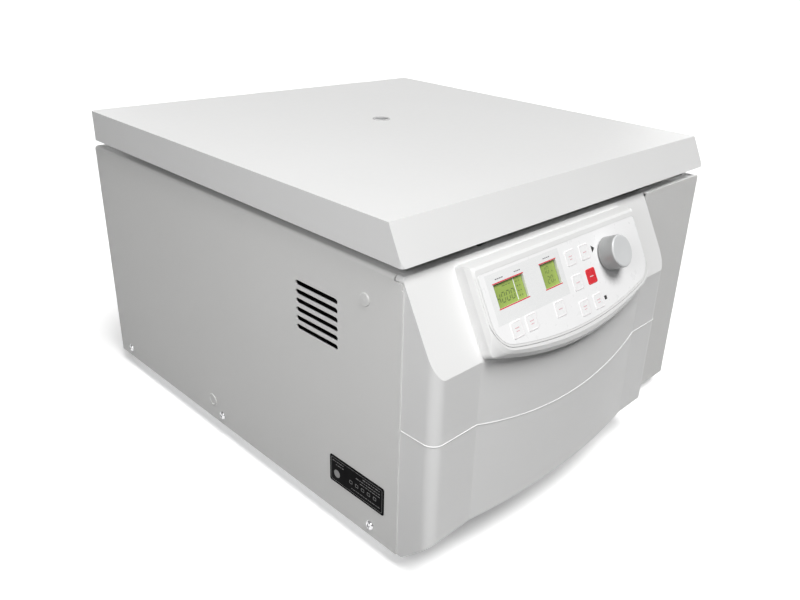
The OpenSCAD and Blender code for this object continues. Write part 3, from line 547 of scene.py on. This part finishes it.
for k, (kx, ks) in KEYS.items():
    def rim(bm, kx=kx, ks=ks):
        frustum_rim(bm, kx, ks, on_slope, [(13.2, 1.6, FACE - 0.02), (12.9, 1.5, FACE + 0.10), (12.4, 1.3, KT + 0.06), (12.0, 1.2, KT + 0.12),
                                           (10.9, 0.9, KT + 0.12), (10.6, 0.8, KT + 0.05), (10.7, 0.8, KT + 0.01), (12.1, 1.2, FACE + 0.06)])

    def outline(bm, kx=kx, ks=ks):
        ring(bm, rrect(kx, ks, 11.75, 11.75, 1.1), rrect(kx, ks, 11.45, 11.45, 0.95), on_slope, KT + 0.09, KT + 0.15)

    def legend(bm, kx=kx, ks=ks, k=k):
        rows = ((-1.1, 4.6), (1.3, 3.4)) if k not in ("key_radius", "key_time", "key_stop", "key_start") else ((0.2, 4.6),)
        for ds, w in rows:
            n, gap = 3, 0.35
            wi = (w - gap * (n - 1)) / n
            for i in range(n):
                slab(bm, bar(kx - w / 2 + wi / 2 + i * (wi + gap), ks + ds, wi, 0.8), on_slope, KT - 0.03, KT + 0.035)
    piece(k + "_rim", rim, M["key_red" if k == "key_stop" else "overlay_film"], "housing", smooth=False)
    if k != "key_stop":
        piece(k + "_outline", outline, INK["outline"], "housing")
    piece(k + "_mark", legend, INK["white" if k == "key_stop" else "pink"], k + "_body")

# ------------------------------------------------------------------ lip along the parting of the fascia, a raised bead in a paler colour that paints a highlight on it
FX0, FX1, FF, YF, FR = -214.0, 109.0, -239.0, -205.0, 10.0
FXC, BHW, BULGE = (FX0 + FX1) / 2, 114.5, 10.0
BRAD = (BHW * BHW + BULGE * BULGE) / (2 * BULGE)


def parting_z(x):
    t = min(1.0, abs(x - FXC) / BHW)
    return 133.5 - 13.5 * (1 - t * t)


def fascia_path():
    """Round the fascia at the parting: points in plan with the outward direction."""
    pts = [(FX0, y, -1.0, 0.0) for y in (YF - 0.6, YF - 12, FF + FR)]
    for i in range(1, 12):
        a = math.radians(180 + 90 * i / 12)
        pts.append((FX0 + FR + FR * math.cos(a), FF + FR + FR * math.sin(a), math.cos(a), math.sin(a)))
    for i in range(9):
        pts.append((FX0 + FR + (FXC - BHW - FX0 - FR) * i / 8, FF, 0.0, -1.0))
    for i in range(1, 60):
        x = FXC - BHW + 2 * BHW * i / 60
        d = x - FXC
        dy = math.sqrt(BRAD * BRAD - d * d)
        pts.append((x, FF - BULGE + BRAD - dy, d / BRAD, -dy / BRAD))
    for i in range(9):
        pts.append((FXC + BHW + (FX1 - FR - FXC - BHW) * i / 8, FF, 0.0, -1.0))
    for i in range(1, 13):
        a = math.radians(270 + 90 * i / 12)
        pts.append((FX1 - FR + FR * math.cos(a), FF + FR + FR * math.sin(a), math.cos(a), math.sin(a)))
    pts.append((FX1, YF - 12, 1.0, 0.0))
    pts.append((FX1, YF - 2.9, 1.0, 0.0))
    return pts


def parting_lip(bm):
    prof = [(-0.25, -0.95), (0.25, -0.80), (0.42, -0.35), (0.30, 0.05), (-0.25, 0.12)]
    loops = []
    for x, y, nx, ny in fascia_path():
        z = parting_z(x)
        loops.append([bm.verts.new(((x + nx * a) / 1000, (y + ny * a) / 1000, (z + b) / 1000)) for a, b in prof])
    for p, q in zip(loops, loops[1:]):
        for i in range(len(prof)):
            j = (i + 1) % len(prof)
            bm.faces.new((p[i], p[j], q[j], q[i]))
    bm.faces.new(loops[0])
    bm.faces.new(list(reversed(loops[-1])))


# the raised bead is real shape; its paler colour is a painted highlight
piece("fascia_parting_lip", parting_lip, M["lip_painted_highlight"], "housing", smooth=False)

# ------------------------------------------------------------------ print on the rating plate


def plate_print(bm):
    t0, t1 = 0.47, 0.53
    ring(bm, rrect(-157.5, 57.85, 62.4, 22.6, 1.4), rrect(-157.5, 57.85, 61.9, 22.1, 1.2), on_left, t0, t1)
    rows = [(66.4, -186.0, 18), (63.4, -186.0, 26), (60.6, -186.0, 22), (50.2, -186.0, 34), (66.4, -142.0, 12), (63.4, -142.0, 9)]
    for z, y0, w in rows:
        y = y0
        k = 0
        while y < y0 + w:
            L = (2.6, 1.5, 3.4, 2.0, 1.2)[(k + int(z)) % 5]
            slab(bm, bar(y + L / 2, z, L, 0.6), on_left, t0, t1)
            y += L + 0.8
            k += 1
    for i in range(5):
        ring(bm, rrect(-180 + i * 7.2, 56.0, 3.6, 3.2, 0.6, 3), rrect(-180 + i * 7.2, 56.0, 2.8, 2.4, 0.4, 3), on_left, t0, t1)
    slab(bm, rrect(-133.5, 54.5, 7.5, 7.5, 3.7, 8), on_left, t0, t1 - 0.01)


piece("rating_plate_print", plate_print, INK["plate"], "housing")

# ------------------------------------------------------------------ floor
bm = bmesh.new()
n = 96
c = bm.verts.new((0, 0, 0))
prev = None
rings = []
for r in (0.4, 1.2, 4.0, 14.0, 60.0, 240.0):
    rings.append([bm.verts.new((r * math.cos(2 * math.pi * i / n), r * math.sin(2 * math.pi * i / n), 0)) for i in range(n)])
for i in range(n):
    bm.faces.new((c, rings[0][i], rings[0][(i + 1) % n]))
    for a, b in zip(rings, rings[1:]):
        bm.faces.new((a[i], b[i], b[(i + 1) % n], a[(i + 1) % n]))
me = bpy.data.meshes.new("floor")
bm.to_mesh(me)
bm.free()
floor = bpy.data.objects.new("floor", me)
scene.collection.objects.link(floor)
mt, nt, b = new_mat("floor_paper")
v = coords(nt)
f = noise(nt, v, 3.0, 3.0)
nt.links.new(mix(nt, remap(nt, f, 0.3, 0.7, 0, 1), (0.955, 0.955, 0.955), (0.965, 0.965, 0.965)), b.inputs["Base Color"])
b.inputs["Roughness"].default_value = 0.9
b.inputs["Specular IOR Level"].default_value = 0.1
b.inputs["Emission Color"].default_value = (1, 1, 1, 1)
b.inputs["Emission Strength"].default_value = 0.20
floor.data.materials.append(mt)
floor.visible_diffuse = False
